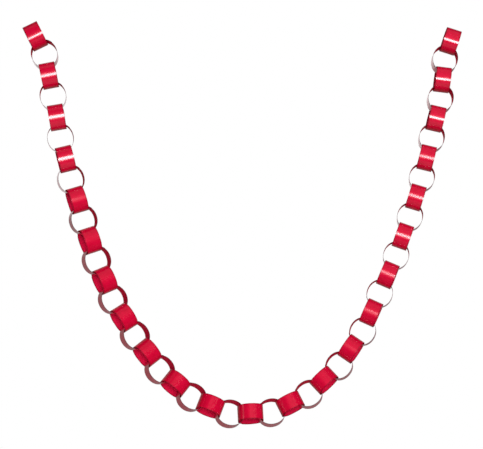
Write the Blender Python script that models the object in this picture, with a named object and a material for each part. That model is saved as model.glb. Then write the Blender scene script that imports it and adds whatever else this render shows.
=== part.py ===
"""Paper chain garland: strips of glossy card, each rolled through the last, hung in a U.

The links lie face on and edge on by turns. The garland hangs in the XZ plane, and the origin is the
point where the loop at its left end bears on whatever it hangs from.
"""

from math import atan, ceil, cos, pi, radians, sin

import bmesh
import bpy
import numpy as np
from mathutils import Matrix, Vector

# The strip of card that each link is rolled from
STRIP_LENGTH = 0.147
STRIP_WIDTH = 0.025
CARD_THICKNESS = 0.00045
GLUED_LAP = 0.011
LAP_RAMP = 0.006

# The rolled loops, inside: a face-on loop has its length along the chain and an edge-on one its
# width across it, and each is as deep or as long as the strip then makes it
FACE_LOOP_LENGTH = 0.0404
FACE_LOOP_SQUARENESS = 2.25
EDGE_LOOP_WIDTH = 0.0408
EDGE_LOOP_SQUARENESS = 2.1

# Where on a loop the strip's inner end is glued down, turned from the chain's direction: at the back
# of a face-on loop, and beside the crossing with the last link on an edge-on one
FACE_SEAM_TURN = radians(90)
EDGE_SEAM_TURN = radians(200)

# The chain: neighbouring loops hang in one another at the four corners where their edges cross
FACE_LINKS = 23
SEAT_CLEARANCE = 0.0013

# The hang: the slope at a face-on link is the number of link pairs below it over the level pull,
# which is given in weights of one pair. The lowest point lies a little off the middle link.
LEVEL_PULL = 2.126
LOWEST_POINT_SHIFT = -0.027

# How far the chain departs from that smooth curve at some of the face-on links, in degrees, as stiff
# card does: a kink turns the rest of the chain up, and a lean turns it back
KINK_AT_LINK = (1, 2, 3, 4, 5, 6, 7, 8, 9, 10, 12, 13, 14, 15, 16, 17, 19, 20, 21, 22, 23)
KINK_DEGREES = (
    15.5, -0.5, -3.5, -1, 0, -1.5, -0.5, 3, 0.5, 1.5, 0, -0.5, -1.5, 0, 3, -1, -1, 0, -1, 3.5, -8
)
LEAN_AT_LINK = (1, 2, 3, 5, 12, 16, 20, 21, 22, 23)
LEAN_DEGREES = (-9, -3.5, 0, -1, 2, 2, 4.5, 8, 10, 6)

# How far the links are turned about the chain, in degrees, at some of the face-on links. The front
# of the chain rolls up, so a face-on loop shows its inside at the front on its lower side.
TWIST_AT_LINK = (1, 3, 4, 5, 6.5, 10, 14, 16, 18, 20, 21, 23)
TWIST_DEGREES = (0, 0.5, 4, 9.5, 15, 19.5, 18.5, 13, 10.5, 10.5, 7, 7)

CARD_RED = (0.59, 0.004, 0.026, 1.0)
CARD_ROUGHNESS = 0.2

# How finely a loop is measured, faceted and shaded
LOOP_SAMPLES = 1440
HALVINGS = 40
FACET_LENGTH = 0.0043
WELD_DISTANCE = 0.00002
SHARP_ANGLE = radians(30)

BACK = Vector((0, 1, 0))
INNER_GIRTH = STRIP_LENGTH - GLUED_LAP - pi * CARD_THICKNESS


class Loop:
    """The inside of a rolled strip, as a superellipse that is read by the distance along it."""

    def __init__(self, length, depth, squareness, start_turn):
        self.half_length = length / 2
        self.half_depth = depth / 2
        self.squareness = squareness
        turns = start_turn + np.linspace(0, 2 * pi, LOOP_SAMPLES + 1)
        power = 2 / squareness
        x = self.half_length * np.sign(np.cos(turns)) * np.abs(np.cos(turns)) ** power
        y = self.half_depth * np.sign(np.sin(turns)) * np.abs(np.sin(turns)) ** power
        self.points = np.stack([x, y], axis=1)
        steps = np.linalg.norm(np.diff(self.points, axis=0), axis=1)
        self.along = np.concatenate([[0], np.cumsum(steps)])
        self.girth = self.along[-1]

    def reach(self, sideways):
        """How far the wall lies from the loop's middle, at a distance to one side of it."""
        share = (sideways / self.half_depth) ** self.squareness
        return self.half_length * (1 - share) ** (1 / self.squareness)

    def at(self, distance, offset):
        """The point at a distance along the loop, moved outwards by an offset."""
        place = [np.interp(distance, self.along, self.points[:, i]) for i in (0, 1)]
        x, y = place[0] / self.half_length, place[1] / self.half_depth
        power = self.squareness - 1
        normal = np.array([
            np.sign(x) * abs(x) ** power / self.half_length,
            np.sign(y) * abs(y) ** power / self.half_depth,
        ])
        return np.array(place) + normal / np.linalg.norm(normal) * offset


def loop_of_girth(make_loop):
    """The loop whose wall is as long as the strip allows, with its free size found by halving."""
    small, large = 0.0, INNER_GIRTH
    for _ in range(HALVINGS):
        size = (small + large) / 2
        loop = make_loop(size)
        if loop.girth < INNER_GIRTH:
            small = size
        else:
            large = size
    return loop


def face_loop():
    return loop_of_girth(
        lambda depth: Loop(FACE_LOOP_LENGTH, depth, FACE_LOOP_SQUARENESS, FACE_SEAM_TURN)
    )


def edge_loop():
    return loop_of_girth(
        lambda length: Loop(length, EDGE_LOOP_WIDTH, EDGE_LOOP_SQUARENESS, EDGE_SEAM_TURN)
    )


def link_outlines(loop):
    """The outer and inner outlines of a rolled strip, starting where its inner end is glued down.

    Over the lap the strip is double, with a step at its outer end. Before the lap the strip climbs
    from single to the outer layer, so its inner end makes a step inside the loop.
    """
    ramp_start = loop.girth - LAP_RAMP
    lap = np.linspace(0, GLUED_LAP, ceil(GLUED_LAP / FACET_LENGTH) + 1)
    single = np.linspace(GLUED_LAP, ramp_start, ceil((ramp_start - GLUED_LAP) / FACET_LENGTH) + 1)
    inner = [loop.at(s, 0) for s in lap]
    inner += [loop.at(s, 0) for s in single[1:]]
    inner.append(loop.at(loop.girth, CARD_THICKNESS))
    outer = [loop.at(s, 2 * CARD_THICKNESS) for s in lap]
    outer += [loop.at(s, CARD_THICKNESS) for s in single]
    return outer, inner


def link_mesh(name, loop):
    """A flat outline with a hole, extruded to the strip's width along Z, as a welded mesh."""
    curve = bpy.data.curves.new(name, "CURVE")
    curve.dimensions = "2D"
    curve.fill_mode = "BOTH"
    curve.extrude = STRIP_WIDTH / 2
    for outline in link_outlines(loop):
        spline = curve.splines.new("POLY")
        spline.points.add(len(outline) - 1)
        spline.use_cyclic_u = True
        for point, (x, y) in zip(spline.points, outline):
            point.co = (x, y, 0, 1)
    blank = bpy.data.objects.new(name, curve)
    bpy.context.scene.collection.objects.link(blank)
    bpy.context.view_layer.update()
    evaluated = blank.evaluated_get(bpy.context.evaluated_depsgraph_get())
    mesh = bpy.data.meshes.new_from_object(evaluated)
    mesh.name = name
    bpy.data.objects.remove(blank)
    welded = bmesh.new()
    welded.from_mesh(mesh)
    bmesh.ops.remove_doubles(welded, verts=welded.verts, dist=WELD_DISTANCE)
    welded.to_mesh(mesh)
    welded.free()
    mesh.shade_smooth()
    mesh.set_sharp_from_angle(angle=SHARP_ANGLE)
    mesh.materials.clear()
    mesh.materials.append(card_material())
    return mesh


def card_material():
    material = bpy.data.materials.get("red_card")
    if material:
        return material
    material = bpy.data.materials.new("red_card")
    material.use_nodes = True
    shader = material.node_tree.nodes["Principled BSDF"]
    shader.inputs["Base Color"].default_value = CARD_RED
    shader.inputs["Roughness"].default_value = CARD_ROUGHNESS
    shader.inputs["Metallic"].default_value = 0.0
    return material


def hang_direction(link):
    """The chain's direction through a face-on link, from the left end towards the right one."""
    lowest = (FACE_LINKS + 1) / 2 + LOWEST_POINT_SHIFT
    slope = atan((link - lowest) / LEVEL_PULL) + radians(np.interp(link, KINK_AT_LINK, KINK_DEGREES))
    lean = radians(np.interp(link, LEAN_AT_LINK, LEAN_DEGREES))
    return Vector((cos(slope) * cos(lean), sin(lean), sin(slope) * cos(lean)))


def twisted_axis(along, link):
    """The axis of an edge-on loop at a place on the chain: backwards, turned about the chain."""
    square = (BACK - along * along.dot(BACK)).normalized()
    twist = radians(np.interp(link, TWIST_AT_LINK, TWIST_DEGREES))
    return Matrix.Rotation(-twist, 3, along) @ square


def link_frame(place, along, axis):
    """Local X runs along the chain and local Z along the loop's own axis."""
    across = axis.cross(along)
    turned = Matrix((along, across, axis)).transposed()
    return Matrix.Translation(place) @ turned.to_4x4()


def chain_frames(pitch):
    """The place of each link, in order from the left end: face on, edge on, and so on.

    The middles of the edge-on links are the corners of the hanging line. A face-on link lies halfway
    between two corners, moved in its own depth to where it is square to the edge-on links beside it.
    """
    directions = [hang_direction(link) for link in range(1, FACE_LINKS + 1)]
    corners = [Vector()]
    for direction in directions:
        corners.append(corners[-1] + direction * 2 * pitch)
    edge_axes = {}
    edge_frames = {}
    for i in range(1, FACE_LINKS):
        along = (directions[i - 1] + directions[i]).normalized()
        edge_axes[i] = twisted_axis(along, i + 0.5)
        edge_frames[i] = link_frame(corners[i], along, edge_axes[i])
    frames = []
    for i, along in enumerate(directions):
        depth = twisted_axis(along, i + 1)
        middle = (corners[i] + corners[i + 1]) / 2
        beside = [j for j in (i, i + 1) if j in edge_axes]
        shifts = [(corners[j] - middle).dot(edge_axes[j]) / depth.dot(edge_axes[j]) for j in beside]
        place = middle + depth * sum(shifts) / len(shifts)
        frames.append(link_frame(place, along, along.cross(depth)))
        if i + 1 in edge_frames:
            frames.append(edge_frames[i + 1])
    return frames


def build():
    for leftover in list(bpy.data.objects):
        bpy.data.objects.remove(leftover)
    collection = bpy.data.collections.new("paper_chain_garland")
    bpy.context.scene.collection.children.link(collection)
    face = face_loop()
    edge = edge_loop()
    pitch = face.reach(STRIP_WIDTH / 2) + edge.reach(STRIP_WIDTH / 2) - SEAT_CLEARANCE
    meshes = (link_mesh("face_on_link", face), link_mesh("edge_on_link", edge))
    frames = chain_frames(pitch)
    bearing = frames[0] @ Vector((-FACE_LOOP_LENGTH / 2, 0, 0))
    for i, frame in enumerate(frames):
        link = bpy.data.objects.new(f"link_{i + 1:02d}", meshes[i % 2])
        link.location = frame.translation - bearing
        link.rotation_euler = frame.to_euler()
        collection.objects.link(link)


build()
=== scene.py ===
"""Paper chain garland of glossy red card, hung in a U against white."""

from math import atan, cos, pi, radians, sin

import bpy
import numpy as np
from mathutils import Matrix, Vector


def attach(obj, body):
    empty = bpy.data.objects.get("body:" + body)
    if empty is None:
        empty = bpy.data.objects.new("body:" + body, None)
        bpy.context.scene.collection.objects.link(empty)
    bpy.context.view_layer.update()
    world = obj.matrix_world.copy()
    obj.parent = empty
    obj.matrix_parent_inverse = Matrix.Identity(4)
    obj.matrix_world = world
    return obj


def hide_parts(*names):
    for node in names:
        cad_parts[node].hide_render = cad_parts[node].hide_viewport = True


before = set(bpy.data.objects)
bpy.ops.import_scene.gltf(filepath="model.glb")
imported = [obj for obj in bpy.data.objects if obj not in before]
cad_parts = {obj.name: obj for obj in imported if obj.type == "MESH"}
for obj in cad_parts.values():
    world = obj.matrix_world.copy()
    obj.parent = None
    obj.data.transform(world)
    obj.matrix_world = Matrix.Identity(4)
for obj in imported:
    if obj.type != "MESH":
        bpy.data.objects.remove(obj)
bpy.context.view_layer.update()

# The strip of card that each link is rolled from, in metres
STRIP_LENGTH = 0.147
STRIP_WIDTH = 0.025
CARD_THICKNESS = 0.00045
GLUED_LAP = 0.011
LAP_RAMP = 0.006
GLUE_FILM = 0.00003
EDGE_ROUNDING = 0.0001
LAP_SKEW = 0.0006
WAVE_HEIGHT = 0.00008

# The rolled loops, inside
FACE_LOOP_LENGTH = 0.0404
FACE_LOOP_SQUARENESS = 2.25
FACE_SEAM_TURN = radians(90)
EDGE_LOOP_WIDTH = 0.0408
EDGE_LOOP_SQUARENESS = 2.1
EDGE_SEAM_TURN = radians(200)
GIRTH_POINTS = 1441
HALVINGS = 40

# The chain, and the way it hangs
FACE_LINKS = 23
SEAT_CLEARANCE = 0.0013
LEVEL_PULL = 2.126
LOWEST_POINT_SHIFT = -0.027
KINK_AT_LINK = (1, 2, 3, 4, 5, 6, 7, 8, 9, 10, 12, 13, 14, 15, 16, 17, 19, 20, 21, 22, 23)
KINK_DEGREES = (
    15.5, -0.5, -3.5, -1, 0, -1.5, -0.5, 3, 0.5, 1.5, 0, -0.5, -1.5, 0, 3, -1, -1, 0, -1, 3.5, -8
)
LEAN_AT_LINK = (1, 2, 3, 5, 12, 16, 20, 21, 22, 23)
LEAN_DEGREES = (-9, -3.5, 0, -1, 2, 2, 4.5, 8, 10, 6)
TWIST_AT_LINK = (1, 3, 4, 5, 6.5, 10, 14, 16, 18, 20, 21, 23)
TWIST_DEGREES = (0, 0.5, 4, 9.5, 15, 19.5, 18.5, 13, 10.5, 10.5, 7, 7)

# The mesh of a strip, where shares are of its length or of half its width
STEPS_ALONG = 160
STEPS_ACROSS = 6
ROW_STRETCH = STEPS_ACROSS / (STEPS_ACROSS - 2)
LOOP_POINTS = 360
SIDE_ROW_SHARE = 0.9
CUT_SIDE_SHARE = 0.75
CUT_END_SHARE = 0.4999
SKEW_FROM_SHARE = 0.8
SHARP_ANGLE = radians(35)

# How the noise that waves a strip is laid: its scale, and its steps across a strip and to the next
WAVES_PER_METRE = 40.0
WAVES_ACROSS = 0.25
WAVES_TO_NEXT_LINK = 0.37
CARD_TO_NEXT_LINK = 0.1

# Where painted shade darkens the card: this far in from its sides, and past these shares of half a
# loop's length
EDGE_SHADE = 0.0026
BEARING_FROM = 0.93
BEARING_TO = 0.99

# The scale of the card's grain
CLOUDS_PER_METRE = 140.0
SCUFFS_PER_METRE = 900.0
SMEARS_PER_METRE = 60.0
PITS_PER_METRE = 2500.0
FIBRES_PER_METRE = (1200, 3200, 1)

# The card's colours, some darkened as painted shade (the cut core, the loop ends, the sides), how
# strongly the last ones show, and its varnish
FRONT_REDS = ((0.60, 0.0003, 0.029, 1), (0.67, 0.0007, 0.037, 1))
BACK_REDS = ((0.60, 0.0040, 0.042, 1), (0.68, 0.0070, 0.056, 1))
CORE_REDS_WITH_PAINTED_SHADE = ((0.06, 0.006, 0.012, 1), (0.14, 0.014, 0.025, 1))
PAINTED_END_SHADE_RED = (0.32, 0.0003, 0.012, 1)
PAINTED_SIDE_SHADE_RED = (0.2, 0.0003, 0.009, 1)
SCUFFED_RED = (0.75, 0.10, 0.14, 1)
RED_SHEEN = (1.0, 0.01, 0.08, 1)
PAINTED_END_SHADE = 0.3
PAINTED_SIDE_SHADE = 0.62
PALER_WHERE_SCUFFED = 0.3
SCUFFS_KEEP_TO_SIDE = 4.0
RUBBED_VARNISH = 0.2
VARNISH_ROUGHNESS = (0.18, 0.2)

# The camera
IMAGE_WIDTH = 483
LENS = 120
SENSOR = 36
METRES_PER_PIXEL = 0.0016146
CAMERA_AZIMUTH = radians(-5)
VIEW_CENTRE = Vector((-0.0144, 0, 0.3056))

# How bright the studio's parts are, where a level of one is white
BACKDROP_LEVEL = 0.27
CEILING_LEVEL = 0.3
TABLE_LEVEL = 0.42
LIGHT_FROM_BELOW = 0.18
LIGHT_FROM_ABOVE = 0.24

# Where those parts begin and are full, as directions: x is right, y behind and z up
SCREEN_BEHIND = (0.94, 0.98)
BACKDROP_BEHIND = (0.6, 0.85)
ROOM_IN_FRONT = (0.3, 0.0)
HIGH_CEILING_UP = (0.82, 0.93)
LOW_CEILING_UP = (0.3, 0.5)
LOW_CEILING_LEFT = (-0.15, 0.0)
LOW_CEILING_RIGHT = (0.42, 0.3)
TABLE_DOWN = (-0.35, -0.5)
TABLE_ASIDE = (0.42, 0.3)

# The floor
FLOOR_GREY = (0.8, 0.8, 0.8, 1)
FLOOR_ROUGHNESS = 0.8
FLOOR_RADIUS = 4.0
FLOOR_SIDES = 96
FLOOR_PLACE = (0.35, 0, -1.9)

BACK = Vector((0, 1, 0))
INNER_GIRTH = STRIP_LENGTH - GLUED_LAP - pi * CARD_THICKNESS


def wall_length(length, depth, squareness):
    """How long the wall of a loop of this size is, once round."""
    turns = np.linspace(0, 2 * pi, GIRTH_POINTS)
    power = 2 / squareness
    x = length / 2 * np.sign(np.cos(turns)) * np.abs(np.cos(turns)) ** power
    y = depth / 2 * np.sign(np.sin(turns)) * np.abs(np.sin(turns)) ** power
    return np.hypot(np.diff(x), np.diff(y)).sum()


def free_size(girth_at):
    """The size that gives a loop the strip's girth, found by halving."""
    small, large = 0.0, INNER_GIRTH
    for _ in range(HALVINGS):
        size = (small + large) / 2
        if girth_at(size) < INNER_GIRTH:
            small = size
        else:
            large = size
    return size


FACE_LOOP_DEPTH = free_size(lambda size: wall_length(FACE_LOOP_LENGTH, size, FACE_LOOP_SQUARENESS))
EDGE_LOOP_LENGTH = free_size(lambda size: wall_length(size, EDGE_LOOP_WIDTH, EDGE_LOOP_SQUARENESS))


def reach(length, depth, squareness):
    """How far a loop's wall lies from its middle at half the strip's width to one side."""
    share = (STRIP_WIDTH / depth) ** squareness
    return length / 2 * (1 - share) ** (1 / squareness)


PITCH = (
    reach(FACE_LOOP_LENGTH, FACE_LOOP_DEPTH, FACE_LOOP_SQUARENESS)
    + reach(EDGE_LOOP_LENGTH, EDGE_LOOP_WIDTH, EDGE_LOOP_SQUARENESS)
    - SEAT_CLEARANCE
)


def hang_direction(link):
    """The chain's direction through a face-on link, from the left end towards the right one."""
    lowest = (FACE_LINKS + 1) / 2 + LOWEST_POINT_SHIFT
    kink = radians(np.interp(link, KINK_AT_LINK, KINK_DEGREES))
    slope = atan((link - lowest) / LEVEL_PULL) + kink
    lean = radians(np.interp(link, LEAN_AT_LINK, LEAN_DEGREES))
    return Vector((cos(slope) * cos(lean), sin(lean), sin(slope) * cos(lean)))


def twisted_axis(along, link):
    """The axis of an edge-on loop at a place on the chain: backwards, turned about the chain."""
    square = (BACK - along * along.dot(BACK)).normalized()
    twist = radians(np.interp(link, TWIST_AT_LINK, TWIST_DEGREES))
    return Matrix.Rotation(-twist, 3, along) @ square


def link_frame(place, along, axis):
    """A place and a turn: X runs along the chain and Z along the loop's own axis."""
    return place, Matrix((along, axis.cross(along), axis)).transposed()


def chain_frames():
    """The places of the face-on links and of the edge-on links, in two lists from the left end."""
    directions = [hang_direction(link) for link in range(1, FACE_LINKS + 1)]
    corners = [Vector()]
    for direction in directions:
        corners.append(corners[-1] + direction * 2 * PITCH)
    edge_frames = {}
    for i in range(1, FACE_LINKS):
        along = (directions[i - 1] + directions[i]).normalized()
        edge_frames[i] = link_frame(corners[i], along, twisted_axis(along, i + 0.5))
    face_frames = []
    for i, along in enumerate(directions):
        depth = twisted_axis(along, i + 1)
        middle = (corners[i] + corners[i + 1]) / 2
        axes = {j: edge_frames[j][1].col[2] for j in (i, i + 1) if j in edge_frames}
        shifts = [(corners[j] - middle).dot(axis) / depth.dot(axis) for j, axis in axes.items()]
        place = middle + depth * sum(shifts) / len(shifts)
        face_frames.append(link_frame(place, along, along.cross(depth)))
    first_place, first_turn = face_frames[0]
    bearing = first_place - first_turn.col[0] * FACE_LOOP_LENGTH / 2
    edge_list = list(edge_frames.values())
    both = (face_frames, edge_list)
    return [[(place - bearing, turn) for place, turn in frames] for frames in both]


class Tree:
    """A short way to write a node tree: each call adds a node and links what it is given.

    A socket that shares its name with another one is given by its number.
    """

    def __init__(self, group):
        self.group = group
        self.nodes = group.nodes
        self.links = group.links

    def node(self, kind, inputs=None, **settings):
        node = self.nodes.new(kind)
        for name, value in settings.items():
            setattr(node, name, value)
        for key, value in (inputs or {}).items():
            socket = node.inputs[key]
            if isinstance(value, bpy.types.NodeSocket):
                self.links.new(value, socket)
            else:
                socket.default_value = value
        return node

    def math(self, operation, *values):
        return self.node("ShaderNodeMath", dict(enumerate(values)), operation=operation).outputs[0]

    def vector(self, operation, *values):
        inputs = dict(enumerate(values))
        return self.node("ShaderNodeVectorMath", inputs, operation=operation).outputs[0]

    def combine(self, x=0.0, y=0.0, z=0.0):
        return self.node("ShaderNodeCombineXYZ", {"X": x, "Y": y, "Z": z}).outputs[0]

    def separate(self, vector):
        return self.node("ShaderNodeSeparateXYZ", {0: vector}).outputs

    def scaled(self, vector, factor):
        node = self.node("ShaderNodeVectorMath", {0: vector, "Scale": factor}, operation="SCALE")
        return node.outputs[0]

    def ramp(self, value, start, end, low=0.0, high=1.0, interpolation="SMOOTHSTEP"):
        inputs = {"Value": value, "From Min": start, "From Max": end, "To Min": low, "To Max": high}
        return self.node("ShaderNodeMapRange", inputs, interpolation_type=interpolation).outputs[0]

    def store(self, geometry, name, value, kind="FLOAT"):
        inputs = {"Geometry": geometry, "Name": name, "Value": value}
        return self.node("GeometryNodeStoreNamedAttribute", inputs, data_type=kind).outputs[0]

    def named(self, name, kind="FLOAT"):
        inputs = {"Name": name}
        return self.node("GeometryNodeInputNamedAttribute", inputs, data_type=kind).outputs[0]

    def noise(self, place, scale, detail):
        inputs = {"Vector": place, "Scale": scale, "Detail": detail}
        return self.node("ShaderNodeTexNoise", inputs).outputs[0]

    def bump(self, height, strength, distance):
        inputs = {"Height": height, "Strength": strength, "Distance": distance}
        return self.node("ShaderNodeBump", inputs).outputs[0]

    def mix(self, factor, first, second):
        inputs = {"Factor": factor, 6: first, 7: second}
        return self.node("ShaderNodeMix", inputs, data_type="RGBA").outputs[2]

    def on_card(self, name, output):
        """A value that the rolled strips carry, read in a material."""
        return self.node("ShaderNodeAttribute", attribute_name=name).outputs[output]


LINK_SIZES = (
    "Loop Length", "Loop Depth", "Squareness", "Seam Turn", "Strip Length", "Strip Width",
    "Card Thickness", "Lap Ramp", "Glue Film", "Edge Rounding", "Lap Skew", "Wave Height",
)


def loop_curve(tree, sizes):
    """A round curve drawn out to the loop's inside, starting where the strip's inner end is."""
    circle = tree.node("GeometryNodeCurvePrimitiveCircle", {"Resolution": LOOP_POINTS}).outputs[0]
    index = tree.node("GeometryNodeInputIndex").outputs[0]
    turn = tree.math("MULTIPLY_ADD", index, 2 * pi / LOOP_POINTS, sizes["Seam Turn"])
    power = tree.math("DIVIDE", 2.0, sizes["Squareness"])
    sides = []
    for part, size in (("COSINE", "Loop Length"), ("SINE", "Loop Depth")):
        swing = tree.math(part, turn)
        bent = tree.math("POWER", tree.math("ABSOLUTE", swing), power)
        half = tree.math("MULTIPLY", sizes[size], 0.5)
        bent = tree.math("MULTIPLY", bent, tree.math("SIGN", swing))
        sides.append(tree.math("MULTIPLY", bent, half))
    place = tree.combine(sides[0], sides[1])
    return tree.node("GeometryNodeSetPosition", {"Geometry": circle, "Position": place}).outputs[0]


def strip_blanks(tree, points):
    """A flat blank strip at each link's place, that knows where each of its points lies on it."""
    inputs = {
        "Size": (1, 1, 1),
        "Vertices X": STEPS_ALONG + 1, "Vertices Y": STEPS_ACROSS + 1, "Vertices Z": 2,
    }
    blank = tree.node("GeometryNodeMeshCube", inputs).outputs["Mesh"]
    x, y, z = tree.separate(tree.node("GeometryNodeInputPosition").outputs[0])
    blank = tree.store(blank, "along", tree.math("ADD", x, 0.5))
    blank = tree.store(blank, "across", tree.math("MULTIPLY", y, 2.0))
    blank = tree.store(blank, "layer", tree.math("ADD", z, 0.5))
    place = tree.node("GeometryNodeInputPosition").outputs[0]
    points = tree.store(points, "place", place, "FLOAT_VECTOR")
    index = tree.node("GeometryNodeInputIndex").outputs[0]
    points = tree.store(points, "link", index)
    inputs = {"Points": points, "Instance": blank}
    copies = tree.node("GeometryNodeInstanceOnPoints", inputs).outputs[0]
    return tree.node("GeometryNodeRealizeInstances", {"Geometry": copies}).outputs[0]


def rolled_strip_tree():
    """Rolls a strip of card into a loop at every point of a chain, with its lap glued down."""
    group = bpy.data.node_groups.new("rolled_card_strips", "GeometryNodeTree")
    face = group.interface
    face.new_socket("Geometry", in_out="INPUT", socket_type="NodeSocketGeometry")
    for name in LINK_SIZES:
        face.new_socket(name, in_out="INPUT", socket_type="NodeSocketFloat")
    face.new_socket("Seed", in_out="INPUT", socket_type="NodeSocketInt")
    face.new_socket("Front", in_out="INPUT", socket_type="NodeSocketMaterial")
    face.new_socket("Back", in_out="INPUT", socket_type="NodeSocketMaterial")
    face.new_socket("Cut Edge", in_out="INPUT", socket_type="NodeSocketMaterial")
    face.new_socket("Geometry", in_out="OUTPUT", socket_type="NodeSocketGeometry")
    tree = Tree(group)
    sizes = tree.node("NodeGroupInput").outputs
    strips = strip_blanks(tree, sizes["Geometry"])
    loop = loop_curve(tree, sizes)

    along = tree.named("along")
    across = tree.named("across")
    layer = tree.named("layer")
    link = tree.named("link")
    distance = tree.math("MULTIPLY", along, sizes["Strip Length"])
    girth = tree.node("GeometryNodeCurveLength", {"Curve": loop}).outputs[0]
    share = tree.math("FRACT", tree.math("DIVIDE", distance, girth))
    sample = tree.node("GeometryNodeSampleCurve", {"Curves": loop, "Factor": share}, mode="FACTOR")
    wall = sample.outputs["Position"]
    outwards = tree.vector("CROSS_PRODUCT", sample.outputs["Tangent"], (0, 0, 1))

    # The second layer climbs onto the first, and each cut edge is a little rounded
    ramp_start = tree.math("SUBTRACT", girth, sizes["Lap Ramp"])
    second = tree.math("ADD", sizes["Card Thickness"], sizes["Glue Film"])
    climb = tree.math("MULTIPLY", tree.ramp(distance, ramp_start, girth), second)
    edge = tree.math("GREATER_THAN", tree.math("ABSOLUTE", across), SIDE_ROW_SHARE)
    rounding = tree.math("MULTIPLY", edge, sizes["Edge Rounding"])
    flat = tree.math("SUBTRACT", sizes["Card Thickness"], tree.math("MULTIPLY", rounding, 2.0))
    depth = tree.math("MULTIPLY_ADD", layer, flat, rounding)

    # Rows across the strip close up at its two sides, where the rounding is
    half_width = tree.math("MULTIPLY", sizes["Strip Width"], 0.5)
    inner_row = tree.math("SUBTRACT", half_width, sizes["Edge Rounding"])
    rows = tree.math("MULTIPLY", tree.math("MULTIPLY", across, ROW_STRETCH), inner_row)
    side = tree.math("MULTIPLY", across, half_width)
    inputs = {"Switch": edge, "False": rows, "True": side}
    sideways = tree.node("GeometryNodeSwitch", inputs, input_type="FLOAT").outputs[0]

    # No two links are quite the same: the card waves a little and the outer end is laid on askew
    inputs = {"ID": link, "Seed": sizes["Seed"], 2: -1.0, 3: 1.0}
    own = tree.node("FunctionNodeRandomValue", inputs, data_type="FLOAT")
    skew = tree.math("MULTIPLY", own.outputs[1], sizes["Lap Skew"])
    slip = tree.math("MULTIPLY", tree.ramp(along, SKEW_FROM_SHARE, 1.0), skew)
    sideways = tree.math("ADD", sideways, slip)
    step_across = tree.combine(z=tree.math("MULTIPLY", sideways, WAVES_ACROSS))
    step_to_link = tree.combine(tree.math("MULTIPLY", link, WAVES_TO_NEXT_LINK), sizes["Seed"])
    noise_at = tree.vector("ADD", tree.vector("ADD", step_across, wall), step_to_link)
    wave = tree.math("SUBTRACT", tree.noise(noise_at, WAVES_PER_METRE, 0.0), 0.5)
    wave = tree.math("MULTIPLY", wave, tree.math("MULTIPLY", sizes["Wave Height"], 2.0))

    lift = tree.math("ADD", tree.math("ADD", climb, depth), wave)
    rolled = tree.vector("ADD", wall, tree.scaled(outwards, lift))
    rolled = tree.vector("ADD", rolled, tree.combine(z=sideways))
    turn = tree.named("turn", "QUATERNION")
    turned = tree.node("FunctionNodeRotateVector", {"Vector": rolled, "Rotation": turn}).outputs[0]
    hung = tree.vector("ADD", tree.named("place", "FLOAT_VECTOR"), turned)
    strips = tree.node("GeometryNodeSetPosition", {"Geometry": strips, "Position": hung}).outputs[0]

    # Each point keeps its place on the flat card, and how near it is to where the loops bear
    card_place = tree.combine(distance, sideways, tree.math("MULTIPLY", link, CARD_TO_NEXT_LINK))
    strips = tree.store(strips, "card_place", card_place, "FLOAT_VECTOR")
    half_length = tree.math("MULTIPLY", sizes["Loop Length"], 0.5)
    endwise = tree.math("DIVIDE", tree.math("ABSOLUTE", tree.separate(wall)[0]), half_length)
    strips = tree.store(strips, "bearing", tree.ramp(endwise, BEARING_FROM, BEARING_TO))

    # The front of the card is outermost; the sides and the two ends are cut, and show its core
    outer = tree.math("GREATER_THAN", layer, 0.5)
    cut_side = tree.math("GREATER_THAN", tree.math("ABSOLUTE", across), CUT_SIDE_SHARE)
    from_middle = tree.math("ABSOLUTE", tree.math("SUBTRACT", along, 0.5))
    cut_end = tree.math("GREATER_THAN", from_middle, CUT_END_SHARE)
    cut = tree.math("MAXIMUM", cut_side, cut_end)
    for where, surface in ((True, "Back"), (outer, "Front"), (cut, "Cut Edge")):
        inputs = {"Geometry": strips, "Selection": where, "Material": sizes[surface]}
        strips = tree.node("GeometryNodeSetMaterial", inputs).outputs[0]
    tree.node("NodeGroupOutput", {0: strips})
    return group


def chain_points(name, frames):
    """A mesh of one point for each link, with the link's turn on it."""
    mesh = bpy.data.meshes.new(name)
    mesh.from_pydata([place for place, turn in frames], [], [])
    turns = mesh.attributes.new("turn", "QUATERNION", "POINT")
    for value, (place, turn) in zip(turns.data, frames):
        value.value = turn.to_quaternion()
    points = bpy.data.objects.new(name, mesh)
    bpy.context.scene.collection.objects.link(points)
    return points


def rolled_links(name, frames, group, sizes):
    """The links of one kind, rolled by the tree and kept as a plain mesh."""
    points = chain_points(name + "_points", frames)
    modifier = points.modifiers.new("rolled_card_strips", "NODES")
    modifier.node_group = group
    for item in group.interface.items_tree:
        if item.in_out == "INPUT" and item.name in sizes:
            modifier[item.identifier] = sizes[item.name]
    bpy.context.view_layer.update()
    evaluated = points.evaluated_get(bpy.context.evaluated_depsgraph_get())
    mesh = bpy.data.meshes.new_from_object(evaluated)
    mesh.name = name
    bpy.data.objects.remove(points)
    mesh.shade_smooth()
    mesh.set_sharp_from_angle(angle=SHARP_ANGLE)
    links = bpy.data.objects.new(name, mesh)
    bpy.context.scene.collection.objects.link(links)
    return links


def new_material(name):
    material = bpy.data.materials.new(name)
    material.use_nodes = True
    tree = Tree(material.node_tree)
    return material, tree, material.node_tree.nodes["Principled BSDF"]


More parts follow.
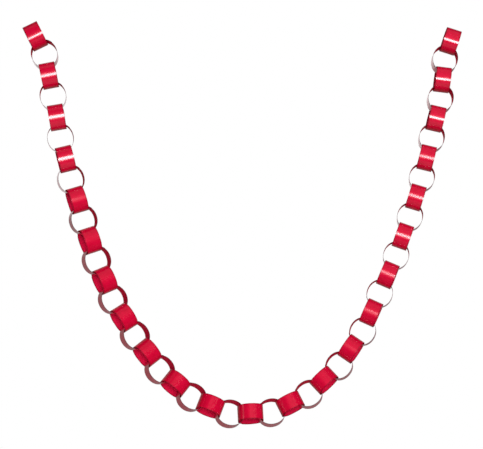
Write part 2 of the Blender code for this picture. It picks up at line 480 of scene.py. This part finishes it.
def red_face(tree, card, reds):
    """A face's colour: cloudy red, with painted shade where it bears and along its sides, which are
    scuffed.
    """
    clouds = tree.noise(card, CLOUDS_PER_METRE, 4.0)
    red = tree.mix(tree.ramp(clouds, 0.35, 0.65, interpolation="LINEAR"), *reds)
    across = tree.math("ABSOLUTE", tree.separate(card)[1])
    edge = tree.ramp(across, STRIP_WIDTH / 2 - EDGE_SHADE, STRIP_WIDTH / 2)
    # Painted shade: near the loop's ends, where the next loops bear, the red is darkened
    bearing = tree.math("MULTIPLY", tree.on_card("bearing", "Fac"), PAINTED_END_SHADE)
    red = tree.mix(bearing, red, PAINTED_END_SHADE_RED)
    # Painted shade: along the strip's sides the red is darkened
    red = tree.mix(tree.math("MULTIPLY", edge, PAINTED_SIDE_SHADE), red, PAINTED_SIDE_SHADE_RED)
    scuffs = tree.ramp(tree.noise(card, SCUFFS_PER_METRE, 3.0), 0.52, 0.7)
    worn = tree.math("MULTIPLY", tree.math("POWER", edge, SCUFFS_KEEP_TO_SIDE), scuffs)
    return tree.mix(tree.math("MULTIPLY", worn, PALER_WHERE_SCUFFED), red, SCUFFED_RED)


def fibre_bump(tree, card, strength, distance):
    """Fine fibres that run mostly along the strip."""
    inputs = {"Vector": card, "Scale": FIBRES_PER_METRE}
    stretched = tree.node("ShaderNodeMapping", inputs).outputs[0]
    return tree.bump(tree.noise(stretched, 1.0, 3.0), strength, distance)


def glossy_front():
    """The coated front: red ink over fine fibres, and a varnish that is rubbed where links bear."""
    material, tree, shader = new_material("glossy_card_front")
    card = tree.on_card("card_place", "Vector")
    tree.links.new(red_face(tree, card, FRONT_REDS), shader.inputs["Base Color"])
    fibres = fibre_bump(tree, card, strength=0.25, distance=0.00002)
    tree.links.new(fibres, shader.inputs["Normal"])
    smears = tree.ramp(tree.noise(card, SMEARS_PER_METRE, 3.0), 0.3, 0.7, *VARNISH_ROUGHNESS)
    tree.links.new(smears, shader.inputs["Coat Roughness"])
    varnish = tree.ramp(tree.on_card("bearing", "Fac"), 0.0, 1.0, 1.0, RUBBED_VARNISH)
    tree.links.new(varnish, shader.inputs["Coat Weight"])
    shader.inputs["Roughness"].default_value = 0.42
    shader.inputs["Specular IOR Level"].default_value = 0.8
    shader.inputs["Specular Tint"].default_value = RED_SHEEN
    shader.inputs["Coat IOR"].default_value = 1.5
    return material


def plain_back():
    """The uncoated back of the card, inside each loop: matt, with its fibres standing."""
    material, tree, shader = new_material("plain_card_back")
    card = tree.on_card("card_place", "Vector")
    tree.links.new(red_face(tree, card, BACK_REDS), shader.inputs["Base Color"])
    fibres = fibre_bump(tree, card, strength=0.5, distance=0.00004)
    tree.links.new(fibres, shader.inputs["Normal"])
    shader.inputs["Roughness"].default_value = 0.75
    shader.inputs["Specular IOR Level"].default_value = 0.05
    return material


def card_core():
    """The core that a cut edge shows: dyed red all through and dull, made very dark as painted
    shade, with more painted shade in its pits.
    """
    material, tree, shader = new_material("cut_card_edge")
    pits = tree.noise(tree.on_card("card_place", "Vector"), PITS_PER_METRE, 4.0)
    # Painted shade: the core's red is made very dark, and darkest in its pits
    red = tree.mix(tree.ramp(pits, 0.35, 0.65), *CORE_REDS_WITH_PAINTED_SHADE)
    tree.links.new(red, shader.inputs["Base Color"])
    tree.links.new(tree.bump(pits, strength=0.6, distance=0.00005), shader.inputs["Normal"])
    shader.inputs["Roughness"].default_value = 0.85
    shader.inputs["Specular IOR Level"].default_value = 0.3
    return material


def build_garland():
    face_frames, edge_frames = chain_frames()
    group = rolled_strip_tree()
    shared = {
        "Strip Length": STRIP_LENGTH, "Strip Width": STRIP_WIDTH, "Card Thickness": CARD_THICKNESS,
        "Lap Ramp": LAP_RAMP, "Glue Film": GLUE_FILM, "Edge Rounding": EDGE_ROUNDING,
        "Lap Skew": LAP_SKEW, "Wave Height": WAVE_HEIGHT, "Front": glossy_front(),
        "Back": plain_back(), "Cut Edge": card_core(),
    }
    face_sizes = {
        "Loop Length": FACE_LOOP_LENGTH, "Loop Depth": FACE_LOOP_DEPTH,
        "Squareness": FACE_LOOP_SQUARENESS, "Seam Turn": FACE_SEAM_TURN, "Seed": 3,
    }
    edge_sizes = {
        "Loop Length": EDGE_LOOP_LENGTH, "Loop Depth": EDGE_LOOP_WIDTH,
        "Squareness": EDGE_LOOP_SQUARENESS, "Seam Turn": EDGE_SEAM_TURN, "Seed": 8,
    }
    names = sorted(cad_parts)
    for name, frames, sizes, nodes in (
        ("face_on_links", face_frames, face_sizes, names[0::2]),
        ("edge_on_links", edge_frames, edge_sizes, names[1::2]),
    ):
        links = rolled_links(name, frames, group, shared | sizes)
        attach(links, "root")
        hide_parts(*nodes)
    return face_frames[FACE_LINKS // 2][0]


def softbox(name, middle, place, size, watts, spread, mirrored=True):
    """A lamp that faces the garland's middle. Its place is from there, its spread in degrees."""
    data = bpy.data.lights.new(name, "AREA")
    data.shape = "RECTANGLE"
    data.size, data.size_y = size
    data.energy = watts
    data.spread = radians(spread)
    light = bpy.data.objects.new(name, data)
    light.location = middle + Vector(place)
    light.rotation_euler = (-Vector(place)).to_track_quat("-Z", "Y").to_euler()
    light.visible_glossy = mirrored
    bpy.context.scene.collection.objects.link(light)


def white_world():
    """White to the camera, even light on the card, and a studio for its varnish to mirror."""
    world = bpy.data.worlds.new("white_studio")
    world.use_nodes = True
    bpy.context.scene.world = world
    tree = Tree(world.node_tree)
    x, y, z = tree.separate(tree.node("ShaderNodeTexCoord").outputs["Generated"])

    # A white screen straight behind, in a grey backdrop
    backdrop = tree.ramp(y, *BACKDROP_BEHIND, 0.0, BACKDROP_LEVEL)
    backdrop = tree.math("MAXIMUM", backdrop, tree.ramp(y, *SCREEN_BEHIND))

    # In front, the ceiling, which shows lower down in the middle, and a table
    low_ceiling = tree.ramp(z, *LOW_CEILING_UP)
    low_ceiling = tree.math("MULTIPLY", low_ceiling, tree.ramp(x, *LOW_CEILING_LEFT))
    low_ceiling = tree.math("MULTIPLY", low_ceiling, tree.ramp(x, *LOW_CEILING_RIGHT))
    ceiling = tree.math("MAXIMUM", low_ceiling, tree.ramp(z, *HIGH_CEILING_UP))
    ceiling = tree.math("MULTIPLY", ceiling, CEILING_LEVEL)
    middle = tree.ramp(tree.math("ABSOLUTE", x), *TABLE_ASIDE)
    table = tree.math("MULTIPLY", tree.ramp(z, *TABLE_DOWN), middle)
    table = tree.math("MULTIPLY", table, TABLE_LEVEL)
    room = tree.math("ADD", ceiling, table)
    room = tree.math("MULTIPLY", room, tree.ramp(y, *ROOM_IN_FRONT))
    studio = tree.math("ADD", backdrop, room)

    rays = tree.node("ShaderNodeLightPath").outputs
    seen = tree.math("MAXIMUM", rays["Is Camera Ray"], rays["Is Transmission Ray"])
    mirrored = tree.math("MULTIPLY", rays["Is Glossy Ray"], studio)
    even = tree.ramp(z, -1.0, 1.0, LIGHT_FROM_BELOW, LIGHT_FROM_ABOVE)
    lighting = tree.math("MULTIPLY", rays["Is Diffuse Ray"], even)
    strength = tree.math("MAXIMUM", seen, tree.math("MAXIMUM", mirrored, lighting))
    background = tree.nodes["Background"]
    background.inputs["Color"].default_value = (1, 1, 1, 1)
    tree.links.new(strength, background.inputs["Strength"])


def build_studio(middle):
    """A softbox behind the camera, two fills, a softbox at each side, a white world and a floor."""
    softbox("front_softbox", middle, (0.07, -6.0, 0.74), size=(1.42, 1.5), watts=44, spread=80)
    softbox("right_fill", middle, (1.6, -2.2, 1.4), (1.2, 1.8), watts=8, spread=90, mirrored=False)
    softbox("back_fill", middle, (-0.4, 3.0, 2.0), (2.0, 2.0), watts=55, spread=140, mirrored=False)
    softbox("left_softbox", middle, (-2.6, -0.6, 0.2), size=(0.5, 1.8), watts=1, spread=90)
    softbox("right_softbox", middle, (2.6, 0.45, 0.2), size=(0.5, 1.8), watts=0.6, spread=90)
    white_world()

    bpy.ops.mesh.primitive_circle_add(
        vertices=FLOOR_SIDES, radius=FLOOR_RADIUS, fill_type="NGON", location=FLOOR_PLACE
    )
    floor = bpy.context.object
    floor.name = "floor"
    floor.visible_glossy = False
    material, _, shader = new_material("pale_floor")
    shader.inputs["Base Color"].default_value = FLOOR_GREY
    shader.inputs["Roughness"].default_value = FLOOR_ROUGHNESS
    floor.data.materials.append(material)


def place_camera(lowest_link):
    data = bpy.data.cameras.new("camera")
    data.lens = LENS
    data.sensor_width = SENSOR
    data.sensor_fit = "HORIZONTAL"
    camera = bpy.data.objects.new("camera", data)
    back = Vector((sin(CAMERA_AZIMUTH), -cos(CAMERA_AZIMUTH), 0))
    distance = IMAGE_WIDTH * LENS / SENSOR * METRES_PER_PIXEL
    camera.location = lowest_link + VIEW_CENTRE + back * distance
    camera.rotation_euler = (-back).to_track_quat("-Z", "Y").to_euler()
    bpy.context.scene.collection.objects.link(camera)
    bpy.context.scene.camera = camera


lowest_link = build_garland()
build_studio(lowest_link + VIEW_CENTRE)
place_camera(lowest_link)
bpy.context.scene.view_settings.view_transform = "Standard"
